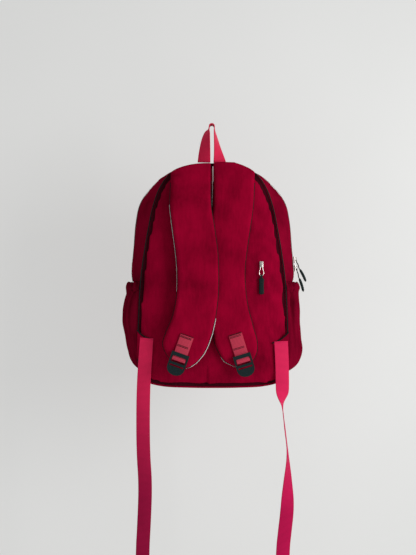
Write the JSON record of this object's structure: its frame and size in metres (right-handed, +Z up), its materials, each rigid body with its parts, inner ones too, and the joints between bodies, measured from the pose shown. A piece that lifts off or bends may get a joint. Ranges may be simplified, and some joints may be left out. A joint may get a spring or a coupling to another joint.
{
  "type": "daypack",
  "caption": "Soft zip-up daypack with padded shoulder straps, side pockets, a hidden back pocket and a webbing haul loop it hangs by.",
  "frame": {"origin": "under the top of the haul loop, where a peg bears", "axes": "+Z up along the bag's height, +Y from the back panel and straps toward the front, +X to the right seen from the straps' side"},
  "size_m": [0.3522, 0.2168, 0.8718],
  "materials": {
    "panel_cloth": "plain woven polyester",
    "side_cloth": "plain woven polyester",
    "foam": "closed-cell foam",
    "lining": "thin woven lining",
    "piping": "corded piping",
    "webbing": "ribbed webbing",
    "zip_tape": "woven zip tape with nylon coil",
    "mesh": "open mesh",
    "metal": "bright",
    "grip": "matt",
    "lock": "moulded"
  },
  "bodies": {
    "bag": {"back_panel": "panel_cloth", "back_foam": "foam", "back_lining": "lining", "back_piping": "piping", "gusset_rear": "side_cloth", "side_wall_left": "side_cloth", "side_wall_right": "side_cloth", "bottom_panel": "side_cloth", "lower_front": "panel_cloth", "main_zip_rear": "zip_tape", "side_pocket_left": "side_cloth", "side_pocket_right": "side_cloth", "pocket_hem_left": "side_cloth", "pocket_hem_right": "side_cloth", "front_pocket": "panel_cloth", "front_pocket_zip": "zip_tape", "hidden_zip": "zip_tape", "hidden_pocket_bag": "lining", "corner_tab_left": "side_cloth", "corner_tab_right": "side_cloth", "haul_loop": "webbing"},
    "flap": {"front_panel": "panel_cloth", "gusset_front": "side_cloth", "front_piping": "piping", "main_zip_front": "zip_tape"},
    "strap_left": {"strap_left_face": "panel_cloth", "strap_left_foam": "foam", "strap_left_mesh": "mesh", "strap_left_webbing": "webbing"},
    "strap_right": {"strap_right_face": "panel_cloth", "strap_right_foam": "foam", "strap_right_mesh": "mesh", "strap_right_webbing": "webbing"},
    "lock_left": {"ladder_lock_left": "lock", "lock_loop_left": "webbing"},
    "lock_right": {"ladder_lock_right": "lock", "lock_loop_right": "webbing"},
    "upper_slider": {"slider_upper": "metal"},
    "upper_pull": {"pull_upper": "grip"},
    "lower_slider": {"slider_lower": "metal"},
    "lower_pull": {"pull_lower": "grip"},
    "pocket_slider": {"hidden_slider": "metal"},
    "pocket_pull": {"hidden_pull": "grip"},
    "front_zip_slider": {"front_slider": "metal"},
    "front_zip_pull": {"front_pull": "grip"},
    "webbing_left": {"adjuster_left": "webbing"},
    "webbing_right": {"adjuster_right": "webbing"}
  },
  "joints": [
    {"name": "strap_lift_left", "type": "hinge", "parent": "bag", "child": "strap_left", "pos_m": [-0.0385, -0.0086, -0.076], "axis": [-1, 0, 0], "range_deg": [0, 100]},
    {"name": "strap_lift_right", "type": "hinge", "parent": "bag", "child": "strap_right", "pos_m": [0.041, -0.0086, -0.076], "axis": [-1, 0, 0], "range_deg": [0, 100]},
    {"name": "lock_swing_left", "type": "hinge", "parent": "strap_left", "child": "lock_left", "pos_m": [-0.05407, -0.0424, -0.41396], "axis": [-0.9421, 0, 0.3355], "range_deg": [0, 100]},
    {"name": "lock_swing_right", "type": "hinge", "parent": "strap_right", "child": "lock_right", "pos_m": [0.05218, -0.0279, -0.41722], "axis": [-0.9563, 0, -0.2924], "range_deg": [0, 100]},
    {"name": "front_fold", "type": "hinge", "parent": "bag", "child": "flap", "pos_m": [0.002, 0.1332, -0.29], "axis": [-1, 0, 0], "range_deg": [0, 75]},
    {"name": "upper_slider_run", "type": "slide", "parent": "bag", "child": "upper_slider", "axis": [-0.0896, 0, 0.996], "range_m": [0, 0.055]},
    {"name": "upper_pull_swing", "type": "hinge", "parent": "upper_slider", "child": "upper_pull", "pos_m": [0.16124, 0.06092, -0.2486], "axis": [0, -1, 0], "range_deg": [0, 90]},
    {"name": "lower_slider_run", "type": "slide", "parent": "bag", "child": "lower_slider", "axis": [0.0233, 0, -0.9997], "range_m": [0, 0.009]},
    {"name": "lower_pull_swing", "type": "hinge", "parent": "lower_slider", "child": "lower_pull", "pos_m": [0.16259, 0.06174, -0.2651], "axis": [0, -1, 0], "range_deg": [0, 30]},
    {"name": "pocket_slider_run", "type": "slide", "parent": "bag", "child": "pocket_slider", "axis": [0, 0, -1], "range_m": [0, 0.13]},
    {"name": "pocket_pull_swing", "type": "hinge", "parent": "pocket_slider", "child": "pocket_pull", "pos_m": [0.091, -0.0141, -0.2592], "axis": [-1, 0, 0], "range_deg": [0, 100]},
    {"name": "front_slider_run", "type": "slide", "parent": "bag", "child": "front_zip_slider", "axis": [1, 0, 0], "range_m": [0, 0.15]},
    {"name": "front_pull_swing", "type": "hinge", "parent": "front_zip_slider", "child": "front_zip_pull", "pos_m": [-0.074, 0.1659, -0.335], "axis": [1, 0, 0], "range_deg": [0, 90]},
    {"name": "webbing_swing_left", "type": "hinge", "parent": "bag", "child": "webbing_left", "pos_m": [-0.1195, -0.011, -0.393], "axis": [-1, 0, 0], "range_deg": [0, 80]},
    {"name": "webbing_swing_right", "type": "hinge", "parent": "bag", "child": "webbing_right", "pos_m": [0.127, -0.011, -0.399], "axis": [-1, 0, 0], "range_deg": [0, 80]}
  ],
  "couplings": [
    {"joint": "strap_lift_right", "follows": "strap_lift_left", "ratio": 1}
  ]
}
